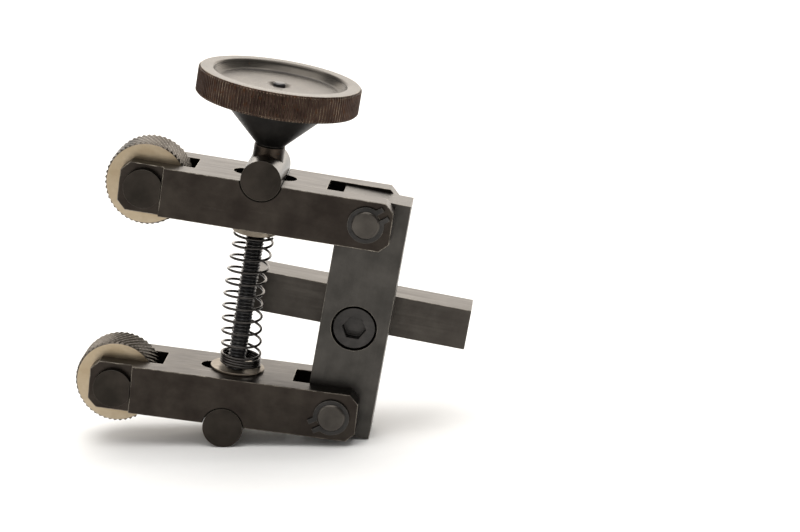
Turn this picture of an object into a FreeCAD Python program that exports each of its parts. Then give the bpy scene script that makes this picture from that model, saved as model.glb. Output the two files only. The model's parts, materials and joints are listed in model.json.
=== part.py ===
"""Clamp-type knurling tool: a square shank and post, two pivoted arms that carry
knurl wheels, and a hand screw that draws the arms together against a spring.

Frame: X runs along the shank with the wheels at -X, Y points to the back of the
tool, Z runs up the post. The origin is the middle of the shank's bottom face.
All sizes are in millimetres and degrees."""
import FreeCAD, Part
import Sketcher
import math
import os

V = FreeCAD.Vector

# Cutting shapes run this far past the faces they cut, in millimetres.
OVERRUN = 2.0

doc = FreeCAD.newDocument("KnurlingTool")

# ---------------------------------------------------------------- sizes
SIZES = [
    # shank and post
    ("shank_size", 9.525), ("shank_length", 50.8),
    ("post_width", 15.5), ("post_thick", 8.68), ("post_front", 5.03),
    ("post_rise", 30.34), ("post_drop", 25.34),
    ("pad_width", 14.5), ("pad_depth", 6.5), ("pad_half_height", 9.0),
    ("bolt_dia", 6.35), ("bolt_head_dia", 9.525), ("bolt_head_height", 6.0),
    ("bolt_grip", 7.0), ("bolt_hole_spare", 0.8), ("bolt_hole_play", 0.1),
    ("hex_flats", 4.76), ("hex_depth", 2.2),
    ("counterbore_dia", 10.4), ("counterbore_depth", 6.3),
    # press_play is the radial gap of a part that is pressed or screwed home
    ("press_play", 0.01),
    # pivots
    ("pin_offset", 1.31), ("upper_pin_rise", 25.65), ("lower_pin_drop", 20.0),
    ("pin_dia", 6.35), ("pin_proud", 1.15), ("pin_edge", 0.35), ("pivot_play", 0.04),
    ("clip_thick", 0.6), ("clip_band", 0.95), ("clip_gap", 1.3), ("clip_lug", 1.1),
    ("clip_lug_root", 0.6), ("groove_depth", 0.3), ("groove_play", 0.02), ("end_play", 0.06),
    ("upper_clip_turn", 50), ("lower_clip_turn", -125), ("axle_clip_turn", -40),
    # arms
    ("arm_width", 18.4), ("arm_inner", 5.72), ("arm_outer", 5.39), ("arm_tail", 5.73),
    ("arm_reach", 50.09), ("arm_nose", 5.6), ("arm_corner", 2.0),
    ("slot_width", 8.8), ("slot_front", 4.97),
    ("rear_slot_reach", 9.96), ("wheel_slot_reach", 39.8),
    ("step_reach", 46.09), ("step_depth", 1.2),
    ("upper_rest", 1.67), ("lower_rest", 3.6),
    # wheels and axles
    ("wheel_dia", 19.05), ("wheel_thick", 8.6), ("wheel_edge", 0.5),
    ("axle_dia", 6.35), ("axle_play", 0.05), ("axle_head_dia", 8.8),
    ("axle_head_thick", 1.5), ("head_flat_gap", 0.05),
    # clamp screw, trunnions and knob
    ("screw_reach", 24.35), ("trunnion_rise", 6.03), ("trunnion_dia", 9.1), ("saddle_play", 0.09),
    ("screw_dia", 4.2), ("screw_play", 0.09), ("nut_play", 0.1), ("screw_inset", 0.3),
    ("screw_lead", 0.5), ("shoulder_depth", 0.4),
    ("oval_length", 14.3), ("oval_width", 5.2),
    ("collar_dia", 7.0), ("collar_seat", 2.9), ("collar_height", 3.4), ("collar_pocket_dia", 7.2),
    ("knob_dia", 36.6), ("rim_height", 5.95), ("neck_dia", 6.8), ("cone_height", 9.9),
    ("dish_dia", 30.2), ("dish_depth", 2.0), ("dish_slope", 1.4), ("rim_edge", 0.4),
    ("screw_tip_dia", 2.8), ("screw_tip_rise", 0.5), ("tip_sink_dia", 5.3), ("tip_sink_depth", 0.7),
    ("tip_land", 0.3),
    # spring and washers
    ("spring_dia", 9.5), ("wire_dia", 0.6), ("active_coils", 9.5), ("spring_gap", 0.36),
    ("closed_coils_low", 3.5), ("closed_coils_high", 1.0), ("coil_blend", 0.5),
    ("spring_foot_shift", 1.0), ("spring_top_shift", 0.45), ("spring_bow", 0.7),
    ("washer_dia", 12.3), ("washer_bore", 5.9), ("washer_thick", 0.55), ("washer_shift", 0.5),
    ("seat_dia", 10.0), ("seat_bore", 6.8), ("seat_thick", 2.35), ("seat_shift", 0.5),
]

sheet = doc.addObject("Spreadsheet::Sheet", "Sizes")
for row, (alias, number) in enumerate(SIZES, start=1):
    sheet.set("A%d" % row, alias)
    sheet.set("B%d" % row, "%.6g" % number)
    sheet.setAlias("B%d" % row, alias)
doc.recompute()


class Size:
    """A length or angle that knows its number and its spreadsheet expression."""

    def __init__(self, text, value):
        self.text, self.value = text, value

    def __add__(self, other):
        other = as_size(other)
        return Size("(%s + %s)" % (self.text, other.text), self.value + other.value)

    def __sub__(self, other):
        other = as_size(other)
        return Size("(%s - %s)" % (self.text, other.text), self.value - other.value)

    def __mul__(self, other):
        other = as_size(other)
        return Size("(%s * %s)" % (self.text, other.text), self.value * other.value)

    def __truediv__(self, other):
        other = as_size(other)
        return Size("(%s / %s)" % (self.text, other.text), self.value / other.value)

    def __neg__(self):
        return Size("(0 - %s)" % self.text, -self.value)


def as_size(item):
    return item if isinstance(item, Size) else Size("%.6g" % item, float(item))


def cosine(angle):
    return Size("cos(%s)" % angle.text, math.cos(math.radians(angle.value)))


def sine(angle):
    return Size("sin(%s)" % angle.text, math.sin(math.radians(angle.value)))


def arctangent(ratio):
    return Size("(atan(%s) / 1deg)" % ratio.text, math.degrees(math.atan(ratio.value)))


S = {alias: Size("Sizes.%s" % alias, float(number)) for alias, number in SIZES}

# ---------------------------------------------------------------- derived places
mid_height = S["shank_size"] / 2
front_y = -(S["post_front"] + S["post_thick"] + S["pad_depth"] + S["shank_size"] / 2)
pivot_x = -S["pin_offset"]
upper_pivot_z = mid_height + S["upper_pin_rise"]
lower_pivot_z = mid_height - S["lower_pin_drop"]
screw_y = front_y + S["arm_width"] / 2
slot_mid = S["slot_front"] + S["slot_width"] / 2
upper_turn = -S["upper_rest"]
lower_turn = -S["lower_rest"]


def arm_point(pivot_z, rest, reach, rise):
    """Place in the frame of a point `reach` in front of a pivot and `rise` above it."""
    x = pivot_x - reach * cosine(rest) - rise * sine(rest)
    z = pivot_z - reach * sine(rest) + rise * cosine(rest)
    return x, z


upper_trunnion_at = arm_point(upper_pivot_z, S["upper_rest"], S["screw_reach"], S["trunnion_rise"])
lower_trunnion_at = arm_point(lower_pivot_z, S["lower_rest"], S["screw_reach"], -S["trunnion_rise"])
screw_run_x = upper_trunnion_at[0] - lower_trunnion_at[0]
screw_run_z = upper_trunnion_at[1] - lower_trunnion_at[1]
screw_tilt = arctangent(screw_run_x / screw_run_z)
screw_span = screw_run_z / cosine(screw_tilt)


# ---------------------------------------------------------------- helpers
def bind(obj, prop, size):
    obj.setExpression(prop, as_size(size).text)


def put(obj, x, y, z, turn=None):
    """Bind an object's place, and its turn about Y when one is given."""
    if turn is not None:
        obj.Placement = FreeCAD.Placement(V(0, 0, 0), FreeCAD.Rotation(V(0, 1, 0), 10))
        bind(obj, "Placement.Rotation.Angle", turn)
    bind(obj, "Placement.Base.x", x)
    bind(obj, "Placement.Base.y", y)
    bind(obj, "Placement.Base.z", z)
    return obj


def rod(name, dia, length, x=0, y=0, z=0, along="y"):
    """Plain cylinder that starts at x, y, z and runs along +Y or +Z."""
    obj = doc.addObject("Part::Cylinder", name)
    if along == "y":
        obj.Placement = FreeCAD.Placement(V(0, 0, 0), FreeCAD.Rotation(V(1, 0, 0), -90))
    bind(obj, "Radius", as_size(dia) / 2)
    bind(obj, "Height", length)
    bind(obj, "Placement.Base.x", x)
    bind(obj, "Placement.Base.y", y)
    bind(obj, "Placement.Base.z", z)
    return obj


def block(name, x0, y0, z0, length, width, height):
    obj = doc.addObject("Part::Box", name)
    bind(obj, "Length", length)
    bind(obj, "Width", width)
    bind(obj, "Height", height)
    bind(obj, "Placement.Base.x", x0)
    bind(obj, "Placement.Base.y", y0)
    bind(obj, "Placement.Base.z", z0)
    return obj


def taper(name, dia_low, dia_high, length, x, y, z, along="y"):
    """Cone frustum along +Y or +Z."""
    obj = doc.addObject("Part::Cone", name)
    if along == "y":
        obj.Placement = FreeCAD.Placement(V(0, 0, 0), FreeCAD.Rotation(V(1, 0, 0), -90))
    bind(obj, "Radius1", as_size(dia_low) / 2)
    bind(obj, "Radius2", as_size(dia_high) / 2)
    bind(obj, "Height", length)
    bind(obj, "Placement.Base.x", x)
    bind(obj, "Placement.Base.y", y)
    bind(obj, "Placement.Base.z", z)
    return obj


def join(name, pieces):
    obj = doc.addObject("Part::MultiFuse", name)
    obj.Shapes = pieces
    return obj


def cut(name, base, tools):
    """Base with every tool taken out of it."""
    tool = tools[0] if len(tools) == 1 else join(name + "_tools", tools)
    obj = doc.addObject("Part::Cut", name)
    obj.Base, obj.Tool = base, tool
    return obj


def new_body(label):
    body = doc.addObject("PartDesign::Body", label)
    body.Label = label
    return body


def new_sketch(body, role, name):
    plane = [feature for feature in body.Origin.OriginFeatures if feature.Role == role][0]
    sketch = body.newObject("Sketcher::SketchObject", name)
    sketch.AttachmentSupport = [(plane, "")]
    sketch.MapMode = "FlatFace"
    return sketch


def fix_point(sketch, geometry, position, x, y):
    """Hold one sketch point at x, y from the origin, by expression."""
    for kind, axis, size in (("DistanceX", -2, as_size(x)), ("DistanceY", -1, as_size(y))):
        if size.text == "0":
            sketch.addConstraint(Sketcher.Constraint("PointOnObject", geometry, position, axis))
        else:
            row = sketch.addConstraint(
                Sketcher.Constraint(kind, -1, 1, geometry, position, size.value))
            sketch.setExpression("Constraints[%d]" % row, size.text)


def outline(sketch, corners):
    """Closed outline through the corners, each held by its own two sizes."""
    points = [(as_size(x), as_size(y)) for x, y in corners]
    first = sketch.GeometryCount
    for k, (x, y) in enumerate(points):
        nx, ny = points[(k + 1) % len(points)]
        sketch.addGeometry(Part.LineSegment(V(x.value, y.value, 0), V(nx.value, ny.value, 0)), False)
    for k in range(len(points)):
        following = first + (k + 1) % len(points)
        sketch.addConstraint(Sketcher.Constraint("Coincident", first + k, 2, following, 1))
    for k, (x, y) in enumerate(points):
        fix_point(sketch, first + k, 1, x, y)


def rectangle(sketch, x0, x1, y0, y1):
    outline(sketch, [(x0, y0), (x1, y0), (x1, y1), (x0, y1)])


def circle(sketch, x, y, dia):
    x, y, dia = as_size(x), as_size(y), as_size(dia)
    row = sketch.addGeometry(Part.Circle(V(x.value, y.value, 0), V(0, 0, 1), dia.value / 2), False)
    fix_point(sketch, row, 3, x, y)
    limit = sketch.addConstraint(Sketcher.Constraint("Diameter", row, dia.value))
    sketch.setExpression("Constraints[%d]" % limit, dia.text)


def pad(body, name, sketch, depth):
    """Solid from the front plane towards the back."""
    feature = body.newObject("PartDesign::Pad", name)
    feature.Profile = sketch
    feature.Reversed = True
    bind(feature, "Length", depth)
    body.Tip = feature
    return feature


def pocket(body, name, sketch, depth=None, both_ways=False):
    """Recess from the front plane towards the back, or right through both ways."""
    feature = body.newObject("PartDesign::Pocket", name)
    feature.Profile = sketch
    if depth is None:
        feature.Type = "ThroughAll"
        feature.Midplane = both_ways
    else:
        bind(feature, "Length", depth)
    body.Tip = feature
    return feature


def revolve(body, name, sketch):
    feature = body.newObject("PartDesign::Revolution", name)
    feature.Profile = sketch
    feature.ReferenceAxis = (sketch, ["V_Axis"])
    feature.Angle = 360
    body.Tip = feature
    return feature


PARTS = []


def keep(obj, label):
    obj.Label = label
    PARTS.append((obj, label))
    return obj


# ---------------------------------------------------------------- post
# Upright bar. Its two ends stand in the arms' rear forks, and a deeper pad in the
# middle of its back carries the shank clear of the arms.
post = new_body("post")
face = new_sketch(post, "XZ_Plane", "post_face")
rectangle(face, -S["post_width"] / 2, S["post_width"] / 2, -S["post_drop"], S["post_rise"])
pad(post, "post_bar", face, S["post_thick"])
pad_face = new_sketch(post, "XZ_Plane", "pad_face")
rectangle(pad_face, -S["pad_width"] / 2, S["pad_width"] / 2, -S["pad_half_height"], S["pad_half_height"])
pad(post, "shank_pad", pad_face, S["post_thick"] + S["pad_depth"])
bore_face = new_sketch(post, "XZ_Plane", "counterbore_face")
circle(bore_face, 0, 0, S["counterbore_dia"])
pocket(post, "counterbore", bore_face, S["counterbore_depth"])
hole_face = new_sketch(post, "XZ_Plane", "hole_face")
circle(hole_face, 0, 0, S["bolt_dia"] + S["bolt_hole_play"] * 2)
circle(hole_face, -S["pin_offset"], S["upper_pin_rise"], S["pin_dia"] + S["press_play"] * 2)
circle(hole_face, -S["pin_offset"], -S["lower_pin_drop"], S["pin_dia"] + S["press_play"] * 2)
pocket(post, "holes", hole_face)
put(post, 0, front_y + S["post_front"], mid_height)
keep(post, "post")

# ---------------------------------------------------------------- shank and its bolt
shank_bar = block("shank_bar", -S["shank_length"] / 2, -S["shank_size"] / 2, 0,
                  S["shank_length"], S["shank_size"], S["shank_size"])
shank_hole = rod("shank_hole", S["bolt_dia"] + S["press_play"] * 2, S["bolt_grip"] + S["bolt_hole_spare"],
                 0, -S["shank_size"] / 2, mid_height)
keep(cut("shank", shank_bar, [shank_hole]), "shank")

seat = S["counterbore_depth"]
bolt_length = S["post_thick"] + S["pad_depth"] - seat + S["bolt_grip"]
bolt_head = rod("bolt_head", S["bolt_head_dia"], S["bolt_head_height"], 0, seat - S["bolt_head_height"], 0)
bolt_stem = rod("bolt_stem", S["bolt_dia"], bolt_length, 0, seat, 0)
hexagon = doc.addObject("Part::Prism", "hex_socket")
hexagon.Polygon = 6
hexagon.Placement = FreeCAD.Placement(V(0, 0, 0), FreeCAD.Rotation(V(1, 0, 0), -90))
bind(hexagon, "Circumradius", S["hex_flats"] / math.sqrt(3))
bind(hexagon, "Height", S["hex_depth"])
bind(hexagon, "Placement.Base.y", seat - S["bolt_head_height"])
bolt = cut("shank_bolt", join("bolt_blank", [bolt_head, bolt_stem]), [hexagon])
put(bolt, 0, front_y + S["post_front"], mid_height)
keep(bolt, "shank_bolt")


# ---------------------------------------------------------------- pins, axles and clips
def pin_shape(name, dia, start, end, grooves, head=None):
    """Round pin along Y with bevelled free ends and a groove for each clip."""
    edge = S["pin_edge"]
    pieces = [rod(name + "_core", dia, end - start - edge * 2, 0, start + edge, 0),
              taper(name + "_back_end", dia, as_size(dia) - edge * 2, edge, 0, end - edge, 0)]
    if head is None:
        pieces.append(taper(name + "_front_end", as_size(dia) - edge * 2, dia, edge, 0, start, 0))
    else:
        pieces += [rod(name + "_front_core", dia, edge, 0, start, 0)] + head
    blank = join(name + "_blank", pieces)
    tools = []
    for k, place in enumerate(grooves):
        play = S["groove_play"]
        ring = rod("%s_groove_%d" % (name, k), as_size(dia) + OVERRUN, S["clip_thick"] + play * 2,
                   0, place - play, 0)
        core = rod("%s_floor_%d" % (name, k), as_size(dia) - S["groove_depth"] * 2,
                   S["clip_thick"] + OVERRUN * 2, 0, place - OVERRUN, 0)
        tools.append(cut("%s_ring_%d" % (name, k), ring, [core]))
    return cut(name, blank, tools)


def clip_shape(name, dia, place):
    """Open spring ring with two small lugs beside its gap. The gap faces up."""
    inner = as_size(dia) - S["groove_depth"] * 2
    outer = as_size(dia) + S["clip_band"] * 2
    disc = rod(name + "_disc", outer, S["clip_thick"], 0, place, 0)
    lugs = block(name + "_lugs", -(S["clip_gap"] / 2 + S["clip_lug"]), place, outer / 2 - S["clip_lug_root"],
                 S["clip_gap"] + S["clip_lug"] * 2, S["clip_thick"], S["clip_lug"] + S["clip_lug_root"])
    deep = S["clip_thick"] + OVERRUN * 2
    hole = rod(name + "_hole", inner, deep, 0, place - OVERRUN, 0)
    gap = block(name + "_gap", -S["clip_gap"] / 2, place - OVERRUN, 0, S["clip_gap"], deep, outer)
    return cut(name, join(name + "_blank", [disc, lugs]), [hole, gap])


front_clip_y = -S["end_play"] - S["clip_thick"]
back_clip_y = S["arm_width"] + S["end_play"]
pin_end = S["arm_width"] + S["pin_proud"]
for level, pivot_z, gap_turn in (("upper", upper_pivot_z, S["upper_clip_turn"]),
                                 ("lower", lower_pivot_z, S["lower_clip_turn"])):
    pin = pin_shape(level + "_pivot_pin", S["pin_dia"], -S["pin_proud"], pin_end,
                    [front_clip_y, back_clip_y])
    keep(put(pin, pivot_x, front_y, pivot_z), level + "_pivot_pin")
    for side, place in (("front", front_clip_y), ("back", back_clip_y)):
        label = "%s_pin_%s_clip" % (level, side)
        clip = clip_shape(label, S["pin_dia"], place)
        keep(put(clip, pivot_x, front_y, pivot_z, gap_turn), label)


# ---------------------------------------------------------------- arms
def make_arm(label, up, pivot_z, turn):
    """Forked arm about its pivot. `up` is +1 when its outer face looks up, -1 when down."""
    def z(size):
        return size if up > 0 else -size

    corner, tip = S["arm_corner"], S["arm_reach"] + S["arm_nose"]
    inner, outer, tail = -S["arm_inner"], S["arm_outer"], S["arm_tail"]
    arm = new_body(label)
    side = new_sketch(arm, "XZ_Plane", label + "_side")
    outline(side, [(tail, z(inner + corner)), (tail, z(outer - corner)), (tail - corner, z(outer)),
                   (corner - tip, z(outer)), (-tip, z(outer - corner)), (-tip, z(inner + corner)),
                   (corner - tip, z(inner)), (tail - corner, z(inner))])
    pad(arm, label + "_bar", side, S["arm_width"])

    slots = new_sketch(arm, "XY_Plane", label + "_slots")
    back_of_slot = S["slot_front"] + S["slot_width"]
    rectangle(slots, -S["rear_slot_reach"], tail + OVERRUN, S["slot_front"], back_of_slot)
    rectangle(slots, -tip - OVERRUN, -S["wheel_slot_reach"], S["slot_front"], back_of_slot)
    pocket(arm, label + "_forks", slots, both_ways=True)

    oval = new_sketch(arm, "XY_Plane", label + "_oval")
    half = (S["oval_length"] - S["oval_width"]) / 2
    middle = S["arm_width"] / 2
    rectangle(oval, -S["screw_reach"] - half, -S["screw_reach"] + half,
              middle - S["oval_width"] / 2, middle + S["oval_width"] / 2)
    pocket(arm, label + "_oval_middle", oval, both_ways=True)
    for end, place in (("front", -S["screw_reach"] - half), ("rear", -S["screw_reach"] + half)):
        round_end = new_sketch(arm, "XY_Plane", "%s_oval_%s" % (label, end))
        circle(round_end, place, middle, S["oval_width"])
        pocket(arm, "%s_oval_%s_end" % (label, end), round_end, both_ways=True)

    step = new_sketch(arm, "XZ_Plane", label + "_step")
    rectangle(step, -tip - OVERRUN, -S["step_reach"], z(inner - OVERRUN), z(outer + OVERRUN))
    pocket(arm, label + "_ear_step", step, S["step_depth"])

    bores = new_sketch(arm, "XZ_Plane", label + "_bores")
    circle(bores, 0, 0, S["pin_dia"] + S["pivot_play"] * 2)
    circle(bores, -S["arm_reach"], 0, S["axle_dia"] + S["press_play"] * 2)
    pocket(arm, label + "_pin_bores", bores)
    saddle = new_sketch(arm, "XZ_Plane", label + "_saddle")
    circle(saddle, -S["screw_reach"], z(S["trunnion_rise"]), S["trunnion_dia"] + S["saddle_play"] * 2)
    pocket(arm, label + "_saddle_cut", saddle)
    put(arm, pivot_x, front_y, pivot_z, turn)
    return keep(arm, label)


make_arm("upper_arm", 1, upper_pivot_z, upper_turn)
make_arm("lower_arm", -1, lower_pivot_z, lower_turn)

# ---------------------------------------------------------------- axles and wheels
for level, pivot_z, rest, turn in (("upper", upper_pivot_z, S["upper_rest"], upper_turn),
                                   ("lower", lower_pivot_z, S["lower_rest"], lower_turn)):
    axle_x, axle_z = arm_point(pivot_z, rest, S["arm_reach"], as_size(0))
    name = level + "_axle"
    head_start = S["step_depth"] - S["axle_head_thick"]
    head_disc = rod(name + "_head_disc", S["axle_head_dia"], S["axle_head_thick"], 0, head_start, 0)
    flat_at = S["arm_reach"] - S["step_reach"] - S["head_flat_gap"]
    flat = block(name + "_head_flat", flat_at, head_start - OVERRUN, -S["axle_head_dia"],
                 S["axle_head_dia"], S["axle_head_thick"] + OVERRUN * 2, S["axle_head_dia"] * 2)
    head = cut(name + "_head", head_disc, [flat])
    axle = pin_shape(name, S["axle_dia"], S["step_depth"], pin_end, [back_clip_y], head=[head])
    keep(put(axle, axle_x, front_y, axle_z, turn), name)

    label = level + "_axle_clip"
    clip = clip_shape(label, S["axle_dia"], back_clip_y)
    keep(put(clip, axle_x, front_y, axle_z, S["axle_clip_turn"]), label)

    name = level + "_knurl_wheel"
    edge, start = S["wheel_edge"], slot_mid - S["wheel_thick"] / 2
    blank = join(name + "_blank", [
        taper(name + "_front_edge", S["wheel_dia"] - edge * 2, S["wheel_dia"], edge, 0, start, 0),
        rod(name + "_face", S["wheel_dia"], S["wheel_thick"] - edge * 2, 0, start + edge, 0),
        taper(name + "_back_edge", S["wheel_dia"], S["wheel_dia"] - edge * 2, edge,
              0, start + S["wheel_thick"] - edge, 0)])
    bore = rod(name + "_bore", S["axle_dia"] + S["axle_play"] * 2, S["wheel_thick"] + OVERRUN * 2,
               0, start - OVERRUN, 0)
    keep(put(cut(name, blank, [bore]), axle_x, front_y, axle_z, turn), name)

# ---------------------------------------------------------------- trunnions
# Cross barrels that lie in the arms' saddles. The screw turns in the upper one,
# which has a flat-bottomed pocket for the thrust collar, and threads into the lower.
half_width = S["arm_width"] / 2
upper_blank = rod("upper_barrel", S["trunnion_dia"], S["arm_width"], 0, -half_width, 0)
upper_hole = rod("upper_barrel_hole", S["screw_dia"] + S["screw_play"] * 2, S["trunnion_dia"] * 2,
                 0, 0, -S["trunnion_dia"], along="z")
collar_pocket = rod("collar_pocket", S["collar_pocket_dia"], S["trunnion_dia"], 0, 0, S["collar_seat"],
                    along="z")
upper_trunnion = cut("upper_trunnion", upper_blank, [upper_hole, collar_pocket])
keep(put(upper_trunnion, upper_trunnion_at[0], screw_y, upper_trunnion_at[1], screw_tilt),
     "upper_trunnion")

lower_blank = rod("lower_barrel", S["trunnion_dia"], S["arm_width"], 0, -half_width, 0)
lower_hole = rod("lower_barrel_hole", S["screw_dia"] + S["nut_play"] * 2, S["trunnion_dia"] * 2,
                 0, 0, -S["trunnion_dia"], along="z")
lower_trunnion = cut("lower_trunnion", lower_blank, [lower_hole])
keep(put(lower_trunnion, lower_trunnion_at[0], screw_y, lower_trunnion_at[1], screw_tilt),
     "lower_trunnion")

# ---------------------------------------------------------------- screw, collar and knob
# Heights are measured along the screw from the middle of the upper trunnion.
collar_top = S["collar_seat"] + S["collar_height"]
rim_floor = collar_top + S["cone_height"]
knob_top = rim_floor + S["rim_height"]
dish_floor = knob_top - S["dish_depth"]
screw_foot = -(screw_span + S["trunnion_dia"] / 2 - S["screw_inset"])
shoulder = dish_floor - S["tip_sink_depth"] - S["shoulder_depth"]
lead = S["screw_lead"]
screw_body = rod("screw_body", S["screw_dia"], shoulder - screw_foot - lead, 0, 0, screw_foot + lead, along="z")
screw_point = taper("screw_point", S["screw_dia"] - lead * 2, S["screw_dia"], lead, 0, 0, screw_foot, along="z")
screw_tip = rod("screw_tip", S["screw_tip_dia"], dish_floor + S["screw_tip_rise"] - shoulder,
                0, 0, shoulder, along="z")
screw = join("clamp_screw", [screw_body, screw_point, screw_tip])
keep(put(screw, upper_trunnion_at[0], screw_y, upper_trunnion_at[1], screw_tilt), "clamp_screw")

collar_blank = rod("collar_blank", S["collar_dia"], S["collar_height"], 0, 0, S["collar_seat"], along="z")
collar_bore = rod("collar_bore", S["screw_dia"] + S["press_play"] * 2, S["collar_height"] + OVERRUN * 2,
                  0, 0, S["collar_seat"] - OVERRUN, along="z")
collar = cut("thrust_collar", collar_blank, [collar_bore])
keep(put(collar, upper_trunnion_at[0], screw_y, upper_trunnion_at[1], screw_tilt), "thrust_collar")

knob = new_body("hand_knob")
profile = new_sketch(knob, "XZ_Plane", "knob_profile")
knob_r, neck_r, dish_r = S["knob_dia"] / 2, S["neck_dia"] / 2, S["dish_dia"] / 2
bore_r, tip_r = S["screw_dia"] / 2 + S["press_play"], S["screw_tip_dia"] / 2 + S["press_play"]
sink_r = S["tip_sink_dia"] / 2
outline(profile, [
    (bore_r, collar_top), (neck_r, collar_top), (neck_r + S["cone_height"], rim_floor),
    (knob_r - S["rim_edge"], rim_floor), (knob_r, rim_floor + S["rim_edge"]),
    (knob_r, knob_top - S["rim_edge"]), (knob_r - S["rim_edge"], knob_top),
    (dish_r, knob_top), (dish_r - S["dish_slope"], dish_floor), (sink_r, dish_floor),
    (tip_r + S["tip_land"], dish_floor - S["tip_sink_depth"]), (tip_r, dish_floor - S["tip_sink_depth"]),
    (tip_r, shoulder), (bore_r, shoulder)])
revolve(knob, "knob_turning", profile)
keep(put(knob, upper_trunnion_at[0], screw_y, upper_trunnion_at[1], screw_tilt), "hand_knob")

# ---------------------------------------------------------------- spring seat and washer
# A thick ring under the upper arm and a thin washer on the lower arm carry the
# spring. Both are loose on the screw and rest a little to one side of it.
washer_drop = S["trunnion_rise"] + S["arm_inner"]
for name, pivot_z, rest, turn, dia, hole, thick, shift, side in (
        ("upper_washer", upper_pivot_z, S["upper_rest"], upper_turn,
         S["seat_dia"], S["seat_bore"], S["seat_thick"], S["seat_shift"], -1),
        ("lower_washer", lower_pivot_z, S["lower_rest"], lower_turn,
         S["washer_dia"], S["washer_bore"], S["washer_thick"], S["washer_shift"], 1)):
    lean = rest + screw_tilt
    drift = (washer_drop + thick / 2) * sine(lean) / cosine(lean)
    reach = S["screw_reach"] - drift * side - shift * side
    face_height = S["arm_inner"] + (thick if side < 0 else 0)
    seat_x, seat_z = arm_point(pivot_z, rest, reach, face_height * side)
    blank = rod(name + "_blank", dia, thick, 0, 0, 0, along="z")
    bore = rod(name + "_bore", hole, thick + OVERRUN * 2, 0, 0, -OVERRUN, along="z")
    keep(put(cut(name, blank, [bore]), seat_x, screw_y, seat_z, turn), name)

# ---------------------------------------------------------------- spring
# Round wire wound about the screw. Its end coils lie closed on their neighbours, more
# of them at the foot than at the top. The spring is loose on the screw: its foot stands
# a little behind the screw's line, and its middle and top a little in front of it.
STEPS_PER_COIL = 24
CLOSED_SHARE = 1.02


def cell(alias):
    return float(sheet.get(alias))


wire = cell("wire_dia")
coil_radius = (cell("spring_dia") - wire) / 2
closed_low, closed_high = cell("closed_coils_low"), cell("closed_coils_high")
coils = cell("active_coils") + closed_low + closed_high
top_drop = washer_drop + S["seat_thick"] + S["spring_gap"]
foot_drop = screw_span - (washer_drop + S["washer_thick"] + S["spring_gap"])
spring_length = foot_drop.value - top_drop.value
closed_rise = wire * CLOSED_SHARE
open_rise = (spring_length - wire - (closed_low + closed_high) * closed_rise) / cell("active_coils")


def coil_rise(turn):
    """Rise of the wire per coil, small on the closed end coils."""
    blend = cell("coil_blend")
    past_end = min(turn - closed_low, coils - turn - closed_high) + blend / 2
    openness = min(1.0, max(0.0, past_end / blend))
    smooth = openness * openness * (3 - 2 * openness)
    return closed_rise + (open_rise - closed_rise) * smooth


heights = [0.0]
for k in range(int(round(coils * STEPS_PER_COIL))):
    heights.append(heights[-1] + coil_rise((k + 0.5) / STEPS_PER_COIL) / STEPS_PER_COIL)
stretch = (spring_length - wire) / heights[-1]
path_points = []
for k, height in enumerate(heights):
    angle = 2 * math.pi * k / STEPS_PER_COIL
    share = height / heights[-1]
    lean = cell("spring_foot_shift") * (1 - share) ** 2 - cell("spring_top_shift") * share ** 2
    lean -= cell("spring_bow") * math.sin(math.pi * share) ** 2
    path_points.append(V(lean + coil_radius * math.cos(angle), coil_radius * math.sin(angle),
                         height * stretch + wire / 2))
curve = Part.BSplineCurve()
curve.interpolate(path_points)
start_way = curve.tangent(curve.FirstParameter)[0]
wire_section = Part.Wire([Part.makeCircle(wire / 2, path_points[0], start_way)])
spring = doc.addObject("Part::Feature", "compression_spring")
spring.Shape = Part.Wire([curve.toShape()]).makePipeShell([wire_section], True, True)
foot_x = upper_trunnion_at[0] - foot_drop * sine(screw_tilt)
foot_z = upper_trunnion_at[1] - foot_drop * cosine(screw_tilt)
keep(put(spring, foot_x, screw_y, foot_z, screw_tilt), "compression_spring")

# ---------------------------------------------------------------- rebuild, check, export
doc.recompute()
problems = []
for obj in doc.Objects:
    if "Invalid" in obj.State or "Error" in obj.State:
        problems.append("%s: %s" % (obj.Name, obj.State))
for obj, label in PARTS:
    if obj.Shape.isNull() or not obj.Shape.isValid() or not obj.Shape.Solids:
        problems.append("%s: bad shape" % label)
if problems:
    raise RuntimeError("; ".join(problems))

os.makedirs("parts", exist_ok=True)
for obj, label in PARTS:
    obj.Shape.exportStep("parts/%s.step" % label)
    box = obj.Shape.BoundBox
    print("%-22s solids %d  volume %9.2f  x %7.2f %7.2f  y %7.2f %7.2f  z %7.2f %7.2f" % (
        label, len(obj.Shape.Solids), obj.Shape.Volume,
        box.XMin, box.XMax, box.YMin, box.YMax, box.ZMin, box.ZMax))
print("screw tilt %.4f deg, span %.4f mm" % (screw_tilt.value, screw_span.value))
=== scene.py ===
# %% [markdown]
# # A clamp knurling tool
# This tool rolls a diagonal pattern into a turning bar. Two forked arms hinge on a
# square post, each arm carries a toothed wheel, and a hand knob on a long screw pulls
# the arms together against a spring. The bodies, their places and their joints come
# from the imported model. This lesson adds the camera, the light, the metal finishes
# and the pieces whose fine shape a plain solid does not show: knurls, threads, spring.

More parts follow.
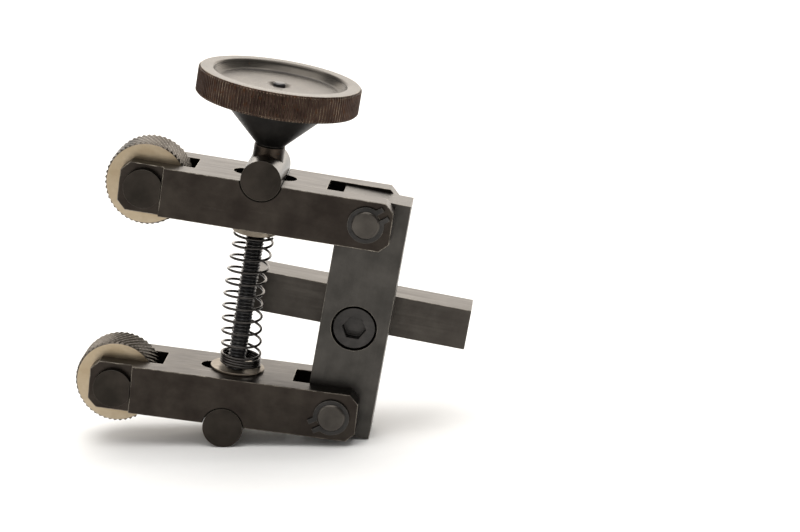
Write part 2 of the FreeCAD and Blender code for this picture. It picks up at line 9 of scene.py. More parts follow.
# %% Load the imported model
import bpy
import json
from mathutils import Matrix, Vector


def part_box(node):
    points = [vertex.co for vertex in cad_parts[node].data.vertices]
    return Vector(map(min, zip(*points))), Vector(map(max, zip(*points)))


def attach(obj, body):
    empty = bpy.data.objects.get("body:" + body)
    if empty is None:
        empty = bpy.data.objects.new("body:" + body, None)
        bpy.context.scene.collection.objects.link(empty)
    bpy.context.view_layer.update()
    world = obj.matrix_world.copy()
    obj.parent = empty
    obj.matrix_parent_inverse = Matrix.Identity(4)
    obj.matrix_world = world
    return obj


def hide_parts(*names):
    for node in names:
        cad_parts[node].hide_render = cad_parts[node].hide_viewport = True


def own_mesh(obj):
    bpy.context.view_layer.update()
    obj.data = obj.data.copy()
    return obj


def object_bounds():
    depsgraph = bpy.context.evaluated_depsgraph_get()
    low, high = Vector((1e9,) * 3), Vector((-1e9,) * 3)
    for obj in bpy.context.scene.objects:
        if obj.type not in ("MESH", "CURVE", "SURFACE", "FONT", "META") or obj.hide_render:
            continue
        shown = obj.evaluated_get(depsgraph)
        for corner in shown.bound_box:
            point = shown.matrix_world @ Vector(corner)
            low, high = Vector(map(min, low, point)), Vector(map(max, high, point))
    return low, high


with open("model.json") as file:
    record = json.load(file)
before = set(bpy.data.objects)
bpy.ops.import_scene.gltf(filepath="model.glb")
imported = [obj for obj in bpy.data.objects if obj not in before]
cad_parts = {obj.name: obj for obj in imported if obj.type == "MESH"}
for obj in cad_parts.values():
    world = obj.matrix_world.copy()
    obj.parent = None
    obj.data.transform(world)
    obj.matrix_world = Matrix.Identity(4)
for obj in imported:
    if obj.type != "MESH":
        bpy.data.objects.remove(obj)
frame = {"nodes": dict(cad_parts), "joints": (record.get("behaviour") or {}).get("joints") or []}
cad_box = [list(corner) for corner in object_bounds()]

import json
import math
import bpy
from mathutils import Matrix, Vector

MM = 0.001
nodes = frame["nodes"]
joints = {joint["name"]: joint for joint in frame["joints"]}


# %% [markdown]
# ## Places
# Every place below is asked of the frame: a joint knows its own pin, and a node knows
# its own box. The screw leans by about half a degree, so the pieces that turn on it
# are made upright about their own Z axis and then laid along the screw.

# %% Pins, screw line and wheel centres
def joint_place(name):
    return Vector(joints[name]["pos_m"])


upper_barrel_centre = joint_place("upper_trunnion_pivot")
lower_barrel_centre = joint_place("lower_trunnion_pivot")
screw_up = -Vector(joints["knob_turn"]["axis"]).normalized()
across = Vector((0, 1, 0))
screw_frame = Matrix((across.cross(screw_up), across, screw_up)).transposed().to_4x4()
screw_frame.translation = upper_barrel_centre


def extent_along(node, origin, direction):
    """Lowest and highest place of a node along a direction, in millimetres."""
    reach = [(vertex.co - origin).dot(direction) / MM for vertex in nodes[node].data.vertices]
    return min(reach), max(reach)


def half_size(node, axis):
    low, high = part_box(node)
    return (high - low)[axis] / 2


barrel_radius = half_size("lower_trunnion", 2)
print("screw leans", round(math.degrees(screw_up.angle(Vector((0, 0, 1)))), 3), "degrees")
print("barrel radius", round(barrel_radius / MM, 2), "mm")


# %% [markdown]
# ## Camera
# The tool is seen from its front and a little above, with a long lens so that its
# parallel edges stay nearly parallel. The camera is placed by angles about an aim
# point, which is easier to change than a row of coordinates. It is rolled, because
# the tool does not stand upright on its lower edge.

# %% Camera
AIM_POINT = Vector((7.49, -12.63, 19.14)) * MM
CAMERA_DISTANCE = 0.5768
CAMERA_AZIMUTH = math.radians(1.334)
CAMERA_ELEVATION = math.radians(15.803)
CAMERA_ROLL = math.radians(-10.450)
CAMERA_LENS = 114.54

towards_camera = Vector((math.cos(CAMERA_ELEVATION) * math.sin(CAMERA_AZIMUTH),
                         -math.cos(CAMERA_ELEVATION) * math.cos(CAMERA_AZIMUTH),
                         math.sin(CAMERA_ELEVATION)))
level_right = Vector((0, 0, 1)).cross(towards_camera).normalized()
level_up = towards_camera.cross(level_right)
camera_up = level_up * math.cos(CAMERA_ROLL) + level_right * math.sin(CAMERA_ROLL)
camera_right = camera_up.cross(towards_camera)
camera_data = bpy.data.cameras.new("camera")
camera_data.lens = CAMERA_LENS
camera_data.sensor_width = 36
camera_data.clip_start = 0.01
camera = bpy.data.objects.new("camera", camera_data)
camera.matrix_world = Matrix.Translation(AIM_POINT + towards_camera * CAMERA_DISTANCE) @ Matrix(
    (camera_right, camera_up, towards_camera)).transposed().to_4x4()
bpy.context.scene.collection.objects.link(camera)
bpy.context.scene.camera = camera
print("camera at", [round(value, 4) for value in camera.matrix_world.translation])


# %% [markdown]
# ## Floor
# Set down by itself, the tool rests on two things: the round barrel under the lower
# arm and the bottom corner of the post. The floor is the plane that touches both, so
# it slopes a little in the tool's own frame. A wide plain sheet of pale paper is
# enough; it is part of the stage and not of the tool.

# %% Floor under the barrel and the post's corner
FLOOR_SIZE = 8.0
FLOOR_GAP = 0.05 * MM

post_low, post_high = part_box("post")
heel = Vector((post_high.x, 0, post_low.z))
run = heel - Vector((lower_barrel_centre.x, 0, lower_barrel_centre.z))
floor_slope = math.asin(barrel_radius / run.length) + math.atan2(run.z, run.x)
floor_mesh = bpy.data.meshes.new("paper_floor")
half = FLOOR_SIZE / 2
floor_mesh.from_pydata([(-half, -half, 0), (half, -half, 0), (half, half, 0), (-half, half, 0)],
                       [], [(0, 1, 2, 3)])
floor = bpy.data.objects.new("paper_floor", floor_mesh)
floor_turn = Matrix.Rotation(-floor_slope, 4, "Y")
floor_up = floor_turn @ Vector((0, 0, 1))
floor.matrix_world = Matrix.Translation(heel - floor_up * FLOOR_GAP) @ floor_turn
bpy.context.scene.collection.objects.link(floor)
print("floor slopes", round(math.degrees(floor_slope), 2), "degrees")


# %% [markdown]
# ## Light
# Dark metal shows what it reflects more than what falls on it. One wide soft box
# stands low behind the tool: the flat tops mirror it and turn pale. Another hangs
# overhead and lights the paper. The front stays dim, so the upright faces, which
# mirror the paper in front of them, stay nearly black.

# %% Soft boxes and a dim surrounding
tool_middle = (Vector(cad_box[0]) + Vector(cad_box[1])) / 2


def soft_box(name, offset, width, height, radiance, colour):
    """Rectangular light aimed at the tool, of a given brightness whatever its size."""
    place = tool_middle + floor_turn @ Vector(offset)
    light = bpy.data.lights.new(name, "AREA")
    light.shape = "RECTANGLE"
    light.size, light.size_y = width, height
    light.energy = radiance * math.pi * width * height
    light.color = colour
    lamp = bpy.data.objects.new(name, light)
    lamp.location = place
    lamp.rotation_euler = (tool_middle - place).to_track_quat("-Z", "Y").to_euler()
    bpy.context.scene.collection.objects.link(lamp)


soft_box("back_box", (0.0, 1.1, 0.42), width=2.2, height=0.85, radiance=2.15,
         colour=(1.0, 0.925, 0.83))
soft_box("top_box", (0.0, 0.1, 1.2), width=1.8, height=1.4, radiance=2.6,
         colour=(1.0, 0.99, 0.97))
soft_box("left_box", (-1.2, -0.5, 0.7), width=0.8, height=0.9, radiance=1.2,
         colour=(1.0, 0.98, 0.95))

world = bpy.data.worlds.new("studio_room")
world.use_nodes = True
world.node_tree.nodes["Background"].inputs["Color"].default_value = (1.0, 0.98, 0.96, 1)
world.node_tree.nodes["Background"].inputs["Strength"].default_value = 0.42
bpy.context.scene.world = world
bpy.context.scene.view_settings.view_transform = "Standard"


# %% [markdown]
# ## Metal finishes
# Each steel on the tool has the same few causes for its look: a base colour that
# drifts in cloudy patches, fine lines left by the grinder or the lathe, edges rubbed
# bright by hands, and here and there a fleck of rust. One recipe holds these layers,
# and each finish below sets its own amounts. Lines and clouds come from noise that is
# stretched along one direction; rubbed edges come from comparing the true normal with
# one rounded over a small radius. Round the barrels in the arms a dark ring, measured
# from the barrel's own axis, is painted shade of the gap between arm and barrel.

# %% A recipe for worn steel
def wire(tree, kind, settings=None, **inputs):
    """Add a node, set its own options, and set or link its sockets by name."""
    node = tree.nodes.new("ShaderNode" + kind)
    for key, value in (settings or {}).items():
        setattr(node, key, value)
    for key, value in inputs.items():
        numbered = key[0] == "i" and key[1:].isdigit()
        socket = node.inputs[int(key[1:]) if numbered else key.replace("_", " ")]
        if isinstance(value, bpy.types.NodeSocket):
            tree.links.new(value, socket)
        else:
            socket.default_value = value
    return node


def ramp(tree, value, start, end, low=0.0, high=1.0):
    """Stretch the part of a value between start and end over low to high."""
    node = wire(tree, "MapRange", Value=value, From_Min=start, From_Max=end, To_Min=low, To_Max=high)
    return node.outputs["Result"]


def blend_colour(tree, factor, first, second):
    node = wire(tree, "Mix", {"data_type": "RGBA"}, i0=factor, i6=first, i7=second)
    return node.outputs[2]


def cloud(tree, space, scale, detail=3.0, rough=0.55):
    """Noise whose grain is set apart for each direction, in waves per metre."""
    place = wire(tree, "Mapping", Vector=space, Scale=scale)
    noise = wire(tree, "TexNoise", Vector=place.outputs["Vector"], Scale=1.0, Detail=detail,
                 Roughness=rough)
    return noise.outputs["Fac"]


CLOUD_RANGE = (0.35, 0.68)
MARK_RANGE = (0.25, 0.75)
MARK_STRENGTH = 0.35
GRIT_SCALE = 2600.0
GRIT_DEPTH = 0.012
GRIT_STRENGTH = 0.25
EDGE_RANGE = (0.995, 0.88)
RUB_SCALE = 520.0
RUB_RANGE = (0.38, 0.62)
LEAST_RUB = 0.12
RUST_SCALE = 900.0
RUST_COLOUR = (0.10, 0.045, 0.022)
RUST_ROUGHNESS = 0.75
# Painted shade in the gap round each barrel: its colour, and the reach where it is solid and where it
# fades.
SEAM_SHADE_COLOUR = (0.004, 0.0035, 0.003)
SEAM_SHADE_SOLID = 0.22
SEAM_SHADE_FADE = 0.42


def worn_steel(name, colour, patch_colour, rough=(0.3, 0.45), patch=180.0,
               lines=(60.0, 2200.0, 2200.0), line_depth=0.02, worn_colour=(0.5, 0.45, 0.38),
               worn_radius=0.25, worn_amount=0.8, rust=0.0, rings=None, seam_shade=None):
    """Steel with cloudy colour, tool lines, rubbed edges, flecks of rust and a painted shade ring."""
    steel = bpy.data.materials.new(name)
    steel.use_nodes = True
    tree = steel.node_tree
    surface = tree.nodes["Principled BSDF"]
    surface.inputs["Metallic"].default_value = 1.0
    space = wire(tree, "TexCoord").outputs["Object"]

    clouds = cloud(tree, space, (patch, patch, patch), detail=5.0)
    base = blend_colour(tree, ramp(tree, clouds, *CLOUD_RANGE), (*colour, 1), (*patch_colour, 1))

    if rings:
        centre, direction, count = rings
        place = wire(tree, "Mapping", Vector=space, Location=tuple(-value for value in centre))
        wave = wire(tree, "TexWave", {"wave_type": "RINGS", "rings_direction": direction},
                    Vector=place.outputs["Vector"], Scale=count, Distortion=1.2, Detail=3.0,
                    Detail_Scale=2.0)
        marks = wave.outputs["Fac"]
    else:
        marks = cloud(tree, space, lines, detail=2.0)
    grit = cloud(tree, space, (GRIT_SCALE, GRIT_SCALE, GRIT_SCALE), detail=2.0)

    rounded = wire(tree, "Bevel", {"samples": 6}, Radius=worn_radius * MM)
    true_normal = wire(tree, "NewGeometry").outputs["Normal"]
    likeness = wire(tree, "VectorMath", {"operation": "DOT_PRODUCT"}, i0=true_normal,
                    i1=rounded.outputs["Normal"])
    edge = ramp(tree, likeness.outputs["Value"], *EDGE_RANGE)
    rub = cloud(tree, space, (RUB_SCALE, RUB_SCALE, RUB_SCALE), detail=4.0)
    rubbed = wire(tree, "Math", {"operation": "MULTIPLY"}, i0=edge,
                  i1=ramp(tree, rub, *RUB_RANGE, LEAST_RUB, worn_amount))
    base = blend_colour(tree, rubbed.outputs["Value"], base, (*worn_colour, 1))
    # Painted shade: a dark ring round the barrel's axis stands in for the shade in the gap between arm
    # and barrel.
    if seam_shade:
        centre, reach = seam_shade
        place = wire(tree, "Mapping", Vector=space, Location=(-centre.x, 0, -centre.z),
                     Scale=(1, 0, 1))
        distance = wire(tree, "VectorMath", {"operation": "LENGTH"}, i0=place.outputs["Vector"])
        seam = ramp(tree, distance.outputs["Value"], reach + SEAM_SHADE_FADE * MM,
                    reach + SEAM_SHADE_SOLID * MM)
        base = blend_colour(tree, seam, base, (*SEAM_SHADE_COLOUR, 1))

    shine = ramp(tree, marks, *MARK_RANGE, *rough)
    if rust:
        flecks = cloud(tree, space, (RUST_SCALE, RUST_SCALE, RUST_SCALE), detail=6.0, rough=0.7)
        fleck = ramp(tree, flecks, 0.66 - 0.2 * rust, 0.74 - 0.1 * rust)
        base = blend_colour(tree, fleck, base, (*RUST_COLOUR, 1))
        dull = wire(tree, "Mix", {"data_type": "FLOAT"}, i0=fleck, i2=shine, i3=RUST_ROUGHNESS)
        shine = dull.outputs[0]
    tree.links.new(base, surface.inputs["Base Color"])
    tree.links.new(shine, surface.inputs["Roughness"])

    first = wire(tree, "Bump", Height=marks, Strength=MARK_STRENGTH, Distance=line_depth * MM)
    second = wire(tree, "Bump", Height=grit, Strength=GRIT_STRENGTH, Distance=GRIT_DEPTH * MM,
                  Normal=first.outputs["Normal"])
    tree.links.new(second.outputs["Normal"], surface.inputs["Normal"])
    return steel


# %% [markdown]
# ## The finishes by name
# Arms, post and shank are ground flat and blackened; the barrels and pins are turned
# and dark; the bolt and clips are black oxide; the wheels are bare tool steel with
# bright ground sides; the washers are plated and faintly warm; the knob is turned
# steel gone brown on its gripped rim.

# %% Finishes
# Each arm's finish holds a ring of painted shade round its own barrel.
arm_steels = {name: worn_steel("blackened_" + name + "_steel", (0.026, 0.021, 0.018),
                               (0.044, 0.037, 0.031), rough=(0.26, 0.42),
                               lines=(50.0, 2600.0, 2600.0), worn_radius=0.3, worn_amount=1.0,
                               worn_colour=(0.62, 0.56, 0.47), seam_shade=(centre, barrel_radius))
              for name, centre in (("upper_arm", upper_barrel_centre),
                                   ("lower_arm", lower_barrel_centre))}
post_steel = worn_steel("blackened_post_steel", (0.050, 0.047, 0.043), (0.074, 0.069, 0.063),
                        rough=(0.30, 0.44), lines=(2600.0, 2600.0, 60.0))
shank_steel = worn_steel("blackened_shank_steel", (0.050, 0.044, 0.039), (0.072, 0.065, 0.057),
                         rough=(0.30, 0.44), lines=(50.0, 2600.0, 2600.0))
oxide_steel = worn_steel("black_oxide_steel", (0.030, 0.029, 0.028), (0.055, 0.052, 0.050),
                         rough=(0.30, 0.48), worn_radius=0.15, worn_amount=0.55)
plated_steel = worn_steel("warm_plated_steel", (0.17, 0.145, 0.115), (0.26, 0.225, 0.18),
                          rough=(0.34, 0.50), patch=500.0, worn_radius=0.16, worn_amount=0.85,
                          worn_colour=(0.80, 0.58, 0.38))
wheel_steel = worn_steel("ground_wheel_side_steel", (0.36, 0.285, 0.19), (0.46, 0.385, 0.28),
                         rough=(0.28, 0.42), lines=(300.0, 2400.0, 1800.0), worn_amount=0.3,
                         worn_colour=(0.62, 0.52, 0.38))
tooth_steel = worn_steel("rolled_tooth_steel", (0.070, 0.060, 0.050), (0.118, 0.102, 0.086),
                         rough=(0.26, 0.40), worn_radius=0.12, worn_amount=0.7,
                         worn_colour=(0.6, 0.54, 0.45))
wire_steel = worn_steel("spring_wire_steel", (0.045, 0.042, 0.040), (0.090, 0.083, 0.078),
                        rough=(0.14, 0.26), worn_amount=0.0)
thread_steel = worn_steel("dark_thread_steel", (0.052, 0.053, 0.057), (0.085, 0.083, 0.083),
                          rough=(0.32, 0.46), worn_radius=0.1, worn_amount=0.45)
print("finishes", len(bpy.data.materials))


# %% [markdown]
# ## Paper
# The sheet under the tool is matt and almost white. A soft mottle keeps it from
# looking like plain paint, and it needs no bump at this distance.

# %% Pale paper
paper = bpy.data.materials.new("pale_paper")
paper.use_nodes = True
paper_tree = paper.node_tree
paper_surface = paper_tree.nodes["Principled BSDF"]
paper_surface.inputs["Roughness"].default_value = 0.9
paper_surface.inputs["Specular IOR Level"].default_value = 0.1
fibre = cloud(paper_tree, wire(paper_tree, "TexCoord").outputs["Object"], (260.0, 260.0, 260.0))
tone = blend_colour(paper_tree, fibre, (0.90, 0.90, 0.895, 1), (0.93, 0.93, 0.925, 1))
paper_tree.links.new(tone, paper_surface.inputs["Base Color"])
floor.data.materials.append(paper)
print("floor finish", paper.name)


# %% [markdown]
# ## Dressing the plain machined pieces
# Arms, post, shank, bolt, pins and clips are shown as they were machined. A file
# would break their sharp corners by a tenth of a millimetre or two; a Bevel modifier
# does the same, and the small new faces catch the light as thin bright lines.

# %% Break the corners and give each piece its finish
def dress(node, finish, corner):
    """Give a node its finish and a small broken corner."""
    piece = nodes[node]
    for holder in piece.material_slots:
        holder.link = "OBJECT"
        holder.material = finish
    weld = piece.modifiers.new("seams_joined", "WELD")
    weld.merge_threshold = 0.002 * MM
    flat = piece.modifiers.new("flats_made_whole", "DECIMATE")
    flat.decimate_type = "DISSOLVE"
    flat.angle_limit = math.radians(0.4)
    bevel = piece.modifiers.new("corners_broken", "BEVEL")
    bevel.width = corner * MM
    bevel.segments = 2
    bevel.limit_method = "ANGLE"
    bevel.angle_limit = math.radians(40)
    evened = piece.modifiers.new("shading_evened", "WEIGHTED_NORMAL")
    evened.weight = 100


for name, finish in arm_steels.items():
    dress(name, finish, corner=0.22)
dress("post", post_steel, corner=0.18)
dress("shank", shank_steel, corner=0.2)
dress("shank_bolt", oxide_steel, corner=0.15)
for level in ("upper", "lower"):
    for side in ("front", "back"):
        dress("%s_pin_%s_clip" % (level, side), oxide_steel, corner=0.06)
    dress(level + "_axle_clip", oxide_steel, corner=0.06)
    dress(level + "_washer", plated_steel, corner=0.12)

turned_pieces = {"upper_trunnion": upper_barrel_centre, "lower_trunnion": lower_barrel_centre,
                 "upper_pivot_pin": joint_place("upper_arm_pivot"),
                 "lower_pivot_pin": joint_place("lower_arm_pivot"),
                 "upper_axle": joint_place("upper_wheel_spin"),
                 "lower_axle": joint_place("lower_wheel_spin")}
PIN_TONES = ((0.050, 0.045, 0.040), (0.085, 0.077, 0.068))
BARREL_TONES = ((0.022, 0.019, 0.016), (0.038, 0.032, 0.027))
for name, centre in turned_pieces.items():
    pin = name.endswith("pin")
    turned_steel = worn_steel("turned_" + name + "_steel", *(PIN_TONES if pin else BARREL_TONES),
                              rough=(0.29, 0.33), rings=(centre, "Y", 410.0), line_depth=0.001,
                              worn_radius=0.2, worn_amount=0.9 if pin else 0.1)
    dress(name, turned_steel, corner=0.22 if name.endswith("trunnion") else 0.14)
print("dressed", sum(1 for piece in nodes.values() if piece.modifiers))


# %% [markdown]
# ## Round pieces from rings
# Knob, wheels, screw and spring are all round, so one helper serves them: it lays
# closed rings of points one after another and joins neighbours with four-sided faces.
# A ring may change its radius from point to point, which is how teeth and threads are
# cut. This gives true shape at the outline, where a bump in the finish would not.

# %% A skin over rings
SHARP_ANGLE = math.radians(32)


def skin(name, rings, place, finish, capped=(False, False), sharp=SHARP_ANGLE):
    """Piece whose surface runs over closed rings of points, given in millimetres."""
    count = len(rings[0])
    points = [(x * MM, y * MM, z * MM) for ring in rings for x, y, z in ring]
    faces = []
    for k in range(len(rings) - 1):
        low, high = k * count, (k + 1) * count
        for j in range(count):
            after = (j + 1) % count
            faces.append((low + j, low + after, high + after, high + j))
    if capped[0]:
        faces.append(tuple(reversed(range(count))))
    if capped[1]:
        faces.append(tuple(range(len(points) - count, len(points))))
    mesh = bpy.data.meshes.new(name)
    mesh.from_pydata(points, [], faces)
    mesh.validate()
    mesh.shade_smooth()
    mesh.set_sharp_from_angle(angle=sharp)
    mesh.materials.append(finish)
    piece = bpy.data.objects.new(name, mesh)
    piece.matrix_world = place
    bpy.context.scene.collection.objects.link(piece)
    return piece


def round_corner(points, radius, steps=4):
    """Soften the inner corners of a line of (radius, height) points."""
    soft = [points[0]]
    for before, at, after in zip(points, points[1:], points[2:]):
        into, out = Vector(before) - Vector(at), Vector(after) - Vector(at)
        cut = min(radius, into.length * 0.45, out.length * 0.45)
        start, end = Vector(at) + into.normalized() * cut, Vector(at) + out.normalized() * cut
        for k in range(steps + 1):
            t = k / steps
            soft.append(tuple(start * (1 - t) ** 2 + Vector(at) * (2 * t * (1 - t)) + end * t * t))
    soft.append(points[-1])
    return soft


# %% [markdown]
# ## Hand knob
# The knob is turned from bar: a narrow neck, a 45 degree cone, a flat rim with fine
# straight knurling for the fingers, and a shallow dish on top with the screw's end
# riveted in a small countersink. It could be a cylinder with cones joined on, but one
# turned outline keeps the walls clean and lets each corner have its own softness.

# %% Knob outline, turned about the screw
KNOB_RIDGES = 150
POINTS_PER_RIDGE = 6
RIDGE_DEPTH = 0.24
RIM_HEIGHT = 5.95
RIM_EDGE = 0.4
CONE_HEIGHT = 9.9
NECK_RADIUS = 3.4
DISH_RADIUS = 15.1
DISH_DEPTH = 2.0
DISH_FOOT = 1.4
SINK_RADIUS = 2.65
SINK_DEPTH = 0.7
KNOB_BORE = 1.43
NECK_EDGE = 0.25
NECK_HEIGHT = 0.35
RIDGE_FADE = 0.3
RIDGE_CREST = 0.25
LIP_DROP = 0.8
LIP_LEAN = 0.35
SINK_LEAN = 0.3
OUTSIDE_SOFTNESS = 0.3
INSIDE_SOFTNESS = 0.55

knob_foot, knob_top = extent_along("hand_knob", upper_barrel_centre, screw_up)
knob_radius = half_size("hand_knob", 1) / MM
rim_foot = knob_top - RIM_HEIGHT
dish_floor = knob_top - DISH_DEPTH
outside = round_corner([(NECK_RADIUS - NECK_EDGE, knob_foot), (NECK_RADIUS, knob_foot + NECK_EDGE),
                        (NECK_RADIUS, knob_foot + NECK_HEIGHT),
                        (NECK_RADIUS + CONE_HEIGHT - NECK_HEIGHT, rim_foot),
                        (knob_radius - RIM_EDGE, rim_foot)], OUTSIDE_SOFTNESS)
rim_band = [(knob_radius, rim_foot + RIM_EDGE), (knob_radius, rim_foot + RIM_EDGE + RIDGE_FADE),
            (knob_radius, knob_top - RIM_EDGE - RIDGE_FADE), (knob_radius, knob_top - RIM_EDGE)]
inside = round_corner([(knob_radius - RIM_EDGE, knob_top), (DISH_RADIUS, knob_top),
                       (DISH_RADIUS - LIP_LEAN, knob_top - LIP_DROP),
                       (DISH_RADIUS - DISH_FOOT, dish_floor), (SINK_RADIUS, dish_floor),
                       (KNOB_BORE + SINK_LEAN, dish_floor - SINK_DEPTH),
                       (KNOB_BORE, dish_floor - SINK_DEPTH)], INSIDE_SOFTNESS)
outline = [(point, 0.0) for point in outside] + [(point, 1.0) for point in rim_band]
outline += [(point, 0.0) for point in inside]
print("knob outline", len(outline), "points")


def knob_ring(radius, height, ridged):
    """One ring of the knob; on the rim its radius rises and falls with the ridges."""
    count = KNOB_RIDGES * POINTS_PER_RIDGE
    ring = []
    for j in range(count):
        angle = 2 * math.pi * j / count
        along = (j % POINTS_PER_RIDGE) / POINTS_PER_RIDGE
        valley = max(0.0, abs(along - 0.5) * 2 - RIDGE_CREST) / (1 - RIDGE_CREST)
        reach = radius - ridged * RIDGE_DEPTH * valley
        ring.append((reach * math.cos(angle), reach * math.sin(angle), height))
    return ring


# %% Three finishes on the knob
CONE_MARGIN = 0.02
RIM_MARGIN = 0.12
TOP_MARGIN = 0.05
knob_turning = ((0, 0, 0), "Z", 1400.0)
dish_steel = worn_steel("turned_dish_steel", (0.056, 0.050, 0.044), (0.088, 0.079, 0.068),
                        rough=(0.27, 0.42), rings=knob_turning, line_depth=0.004,
                        worn_colour=(0.50, 0.42, 0.28), worn_radius=0.35, worn_amount=0.75, rust=0.1)
rim_steel = worn_steel("browned_rim_steel", (0.034, 0.021, 0.017), (0.066, 0.042, 0.032),
                       rough=(0.34, 0.52), patch=420.0, rings=knob_turning, line_depth=0.002,
                       worn_colour=(0.62, 0.50, 0.36), worn_radius=0.18, worn_amount=1.0, rust=0.5)
cone_steel = worn_steel("oiled_cone_steel", (0.040, 0.038, 0.036), (0.062, 0.058, 0.054),
                        rough=(0.42, 0.54), rings=knob_turning, line_depth=0.002, worn_amount=0.2)
knob = skin("ridged_hand_knob", [knob_ring(*point, ridged) for point, ridged in outline],
            screw_frame, dish_steel)
knob.data.materials.append(rim_steel)
knob.data.materials.append(cone_steel)
for face in knob.data.polygons:
    middle = face.center / MM
    reach = math.hypot(middle.x, middle.y)
    if middle.z < rim_foot + CONE_MARGIN:
        face.material_index = 2
    elif reach > knob_radius - RIM_EDGE - RIM_MARGIN and middle.z < knob_top - TOP_MARGIN:
        face.material_index = 1
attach(knob, "screw_group")
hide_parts("hand_knob")
print("knob", round(2 * knob_radius, 1), "mm across,", KNOB_RIDGES, "ridges")


# %% [markdown]
# ## Thrust collar
# A small turned collar sits between the knob's neck and the upper barrel and takes the
# knob's push. Its shape needs nothing more than a broken corner, but it has gone brown
# where oil and dust gather, so it has a finish of its own.

# %% Collar under the knob
collar_steel = worn_steel("browned_collar_steel", (0.022, 0.018, 0.015), (0.060, 0.046, 0.036),
                          rough=(0.28, 0.44), patch=500.0, worn_amount=0.6, rust=0.3)
dress("thrust_collar", collar_steel, corner=0.2)
print("collar finish", collar_steel.name)


# %% [markdown]
# ## Clamp screw
# The screw has a fine thread, 0.8 mm from crest to crest, along its whole lower part,
# and a plain thin end riveted into the knob. The thread could be a separate ribbon
# wound round a rod, but then the two would cut through each other. Here each ring of
# points has its radius set by how far it is from the crest, which makes one clean skin.

# %% Threaded screw
THREAD_PITCH = 0.8
THREAD_DEPTH = 0.42
THREAD_SIDES = 32
RINGS_PER_PITCH = 8
TIP_RADIUS = 1.4
THREAD_STOP = 2.6
THREAD_FADE = 0.1
VALLEY_STEEPNESS = 2.4
SCREW_RADIUS = 2.1
SCREW_LEAD = 0.5
TIP_EDGE = 0.25
SHOULDER_DROP = 0.4

screw_foot, screw_end = extent_along("clamp_screw", upper_barrel_centre, screw_up)
shoulder = dish_floor - SINK_DEPTH - SHOULDER_DROP


def thread_ring(height, depth):
    """Ring of the thread: a flat crest, then a V down to the root and back."""
    ring = []
    for j in range(THREAD_SIDES):
        turn = j / THREAD_SIDES
        phase = (height / THREAD_PITCH - turn) % 1.0
        valley = max(0.0, 1 - abs(phase - 0.5) * VALLEY_STEEPNESS)
        radius = SCREW_RADIUS - depth * valley
        angle = 2 * math.pi * turn
        ring.append((radius * math.cos(angle), radius * math.sin(angle), height))
    return ring


def plain_ring(radius, height):
    return [(radius * math.cos(2 * math.pi * j / THREAD_SIDES),
             radius * math.sin(2 * math.pi * j / THREAD_SIDES), height) for j in range(THREAD_SIDES)]


screw_rings = [plain_ring(SCREW_RADIUS - SCREW_LEAD, screw_foot)]
thread_count = int((THREAD_STOP - screw_foot - SCREW_LEAD) / THREAD_PITCH * RINGS_PER_PITCH)
for k in range(thread_count):
    height = screw_foot + SCREW_LEAD + k * THREAD_PITCH / RINGS_PER_PITCH
    screw_rings.append(thread_ring(height, THREAD_DEPTH))
screw_rings += [plain_ring(SCREW_RADIUS, THREAD_STOP + THREAD_FADE), plain_ring(SCREW_RADIUS, shoulder),
                plain_ring(TIP_RADIUS, shoulder), plain_ring(TIP_RADIUS, screw_end - TIP_EDGE),
                plain_ring(TIP_RADIUS - TIP_EDGE, screw_end)]
screw = skin("threaded_clamp_screw", screw_rings, screw_frame, thread_steel, capped=(True, True))
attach(screw, "screw_group")
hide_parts("clamp_screw")
print("thread turns", round(thread_count / RINGS_PER_PITCH, 1))


# %% [markdown]
# ## Knurl wheels
# A knurl wheel is a hard ring with slanting teeth on its rim. The two wheels slant
# opposite ways, so together they press a diamond pattern. The teeth run right across
# and fade out on a small bevel at each side. The sides themselves are ground bright.
# The rim is made like the thread, from rings whose teeth step round a little each time.

# %% Wheels with slanting teeth
TOOTH_COUNT = 48
POINTS_PER_TOOTH = 8
TOOTH_DEPTH = 0.52
TOOTH_SLANT = math.radians(30)
WHEEL_RINGS = 22
SIDE_BEVEL = 0.5
BEVEL_STEPS = (0.0, 0.12, 0.25, 0.38, 0.5)
TOOTH_STEEPNESS = 2.15
TOOTH_MARGIN = 0.2
SIDE_FACING = 0.9
BORE_EDGE = 0.25
AXLE_PLAY = 0.05
SIDE_BAND = 1.6


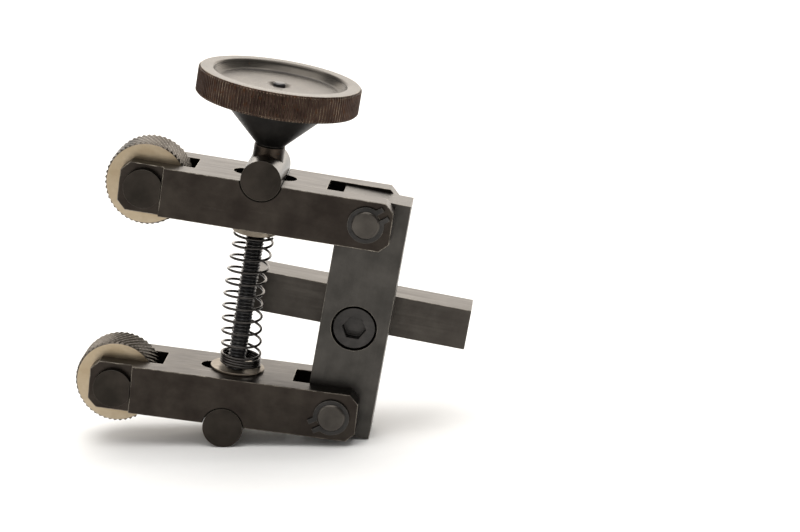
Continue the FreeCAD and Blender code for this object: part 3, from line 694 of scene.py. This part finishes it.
def knurl_wheel(name, node, joint, hand):
    """Wheel about its axle; hand is +1 or -1 for the way that its teeth slant."""
    centre = joint_place(joint)
    low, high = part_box(node)
    radius, width = (high.z - low.z) / 2 / MM, (high.y - low.y) / MM
    # The axle's box shows its head; its shaft is as thick as the pivot pin.
    bore = half_size(node.replace("knurl_wheel", "pivot_pin"), 2) / MM + AXLE_PLAY
    front = (low.y - centre.y) / MM
    count = TOOTH_COUNT * POINTS_PER_TOOTH

    def ring_at(reach_of, y):
        return [(reach_of(j) * math.cos(2 * math.pi * j / count), y,
                 reach_of(j) * math.sin(2 * math.pi * j / count)) for j in range(count)]

    def toothed(y):
        shift = hand * (y - front) * math.tan(TOOTH_SLANT) / radius / (2 * math.pi) * TOOTH_COUNT
        edge = radius - SIDE_BEVEL + min(y - front, front + width - y)

        def reach(j):
            phase = (j / POINTS_PER_TOOTH + shift) % 1.0
            valley = max(0.0, 1 - abs(phase - 0.5) * TOOTH_STEEPNESS)
            return min(radius - TOOTH_DEPTH * valley, edge)
        return reach

    inner = [SIDE_BEVEL + (width - 2 * SIDE_BEVEL) * k / WHEEL_RINGS for k in range(1, WHEEL_RINGS)]
    heights = [*BEVEL_STEPS, *inner, *(width - value for value in reversed(BEVEL_STEPS))]
    rings = [ring_at(lambda j: bore, front + BORE_EDGE), ring_at(lambda j: bore + BORE_EDGE, front),
             ring_at(lambda j: radius - SIDE_BAND, front)]
    rings += [ring_at(toothed(front + value), front + value) for value in heights]
    rings += [ring_at(lambda j: radius - SIDE_BAND, front + width),
              ring_at(lambda j: bore + BORE_EDGE, front + width),
              ring_at(lambda j: bore, front + width - BORE_EDGE),
              ring_at(lambda j: bore, front + BORE_EDGE)]
    wheel = skin(name, rings, Matrix.Translation(centre), wheel_steel, sharp=math.radians(28))
    wheel.data.materials.append(tooth_steel)
    for face in wheel.data.polygons:
        middle = face.center / MM
        near_rim = math.hypot(middle.x, middle.z) > radius - TOOTH_DEPTH - TOOTH_MARGIN
        if near_rim and abs(face.normal.y) < SIDE_FACING:
            face.material_index = 1
    wheel.data.flip_normals()
    return wheel


for level, hand in (("upper", -1), ("lower", 1)):
    wheel = knurl_wheel(level + "_toothed_wheel", level + "_knurl_wheel", level + "_wheel_spin", hand)
    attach(wheel, level + "_wheel_group")
    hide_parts(level + "_knurl_wheel")
    print(wheel.name, len(wheel.data.polygons), "faces")


# %% [markdown]
# ## Spring
# The spring pushes the arms apart, so the wheels open when the knob is slackened. It
# is hard wire wound round the screw, with closed coils at each end that lie flat on
# its seats, nearly four at the foot and part of one at the top. The wire's path is a
# helix whose rise is slower over the end coils, and a round tube follows it. It is
# loose on the screw, so its foot stands a little to one side and its middle bows the
# other way.

# %% Wire wound round the screw
WIRE_RADIUS = 0.3
COIL_RADIUS = 4.45
OPEN_COILS = 9.6
SHUT_COILS_LOW = 3.8
SHUT_COILS_HIGH = 0.6
COIL_BLEND = 0.5
COILS = OPEN_COILS + SHUT_COILS_LOW + SHUT_COILS_HIGH
STEPS_PER_COIL = 30
WIRE_SIDES = 14
CLOSED_RISE = 0.61
FOOT_SHIFT = 1.0
TOP_SHIFT = 0.45
BOW = 0.7

spring_low, spring_high = extent_along("compression_spring", upper_barrel_centre, screw_up)
spring_length = spring_high - spring_low


def rise_share(turn):
    """0 on the closed end coils, 1 on the open ones, with a smooth change between."""
    past_end = min(turn - SHUT_COILS_LOW, COILS - turn - SHUT_COILS_HIGH) + COIL_BLEND / 2
    t = min(1.0, max(0.0, past_end / COIL_BLEND))
    return t * t * (3 - 2 * t)


steps = int(COILS * STEPS_PER_COIL)
shares = [rise_share((k + 0.5) / STEPS_PER_COIL) for k in range(steps)]
total_rise = spring_length - 2 * WIRE_RADIUS
closed_rise = sum((1 - share) * CLOSED_RISE for share in shares) / STEPS_PER_COIL
open_rise = (total_rise - closed_rise) / (sum(shares) / STEPS_PER_COIL)
heights = [spring_low + WIRE_RADIUS]
for share in shares:
    heights.append(heights[-1] + (share * open_rise + (1 - share) * CLOSED_RISE) / STEPS_PER_COIL)
wire_rings = []
for k, height in enumerate(heights):
    angle = 2 * math.pi * k / STEPS_PER_COIL
    share = (height - heights[0]) / (heights[-1] - heights[0])
    lean = FOOT_SHIFT * (1 - share) ** 2 - TOP_SHIFT * share ** 2 - BOW * math.sin(math.pi * share) ** 2
    outward = Vector((math.cos(angle), math.sin(angle), 0))
    rise = heights[min(k + 1, steps)] - heights[max(k - 1, 0)]
    slope = rise / (4 * math.pi / STEPS_PER_COIL * COIL_RADIUS)
    forward = Vector((-math.sin(angle), math.cos(angle), slope)).normalized()
    upward = outward.cross(forward)
    middle = outward * COIL_RADIUS + Vector((lean, 0, height))
    wire_rings.append([tuple(middle + (outward * math.cos(turn) - upward * math.sin(turn)) * WIRE_RADIUS)
                       for turn in (2 * math.pi * j / WIRE_SIDES for j in range(WIRE_SIDES))])
spring = skin("wound_spring", wire_rings, screw_frame, wire_steel, capped=(True, True),
              sharp=math.radians(60))
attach(spring, "upper_trunnion_group")
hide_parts("compression_spring")
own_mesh(spring)
print("spring", round(spring_length, 1), "mm long,", COILS, "coils")
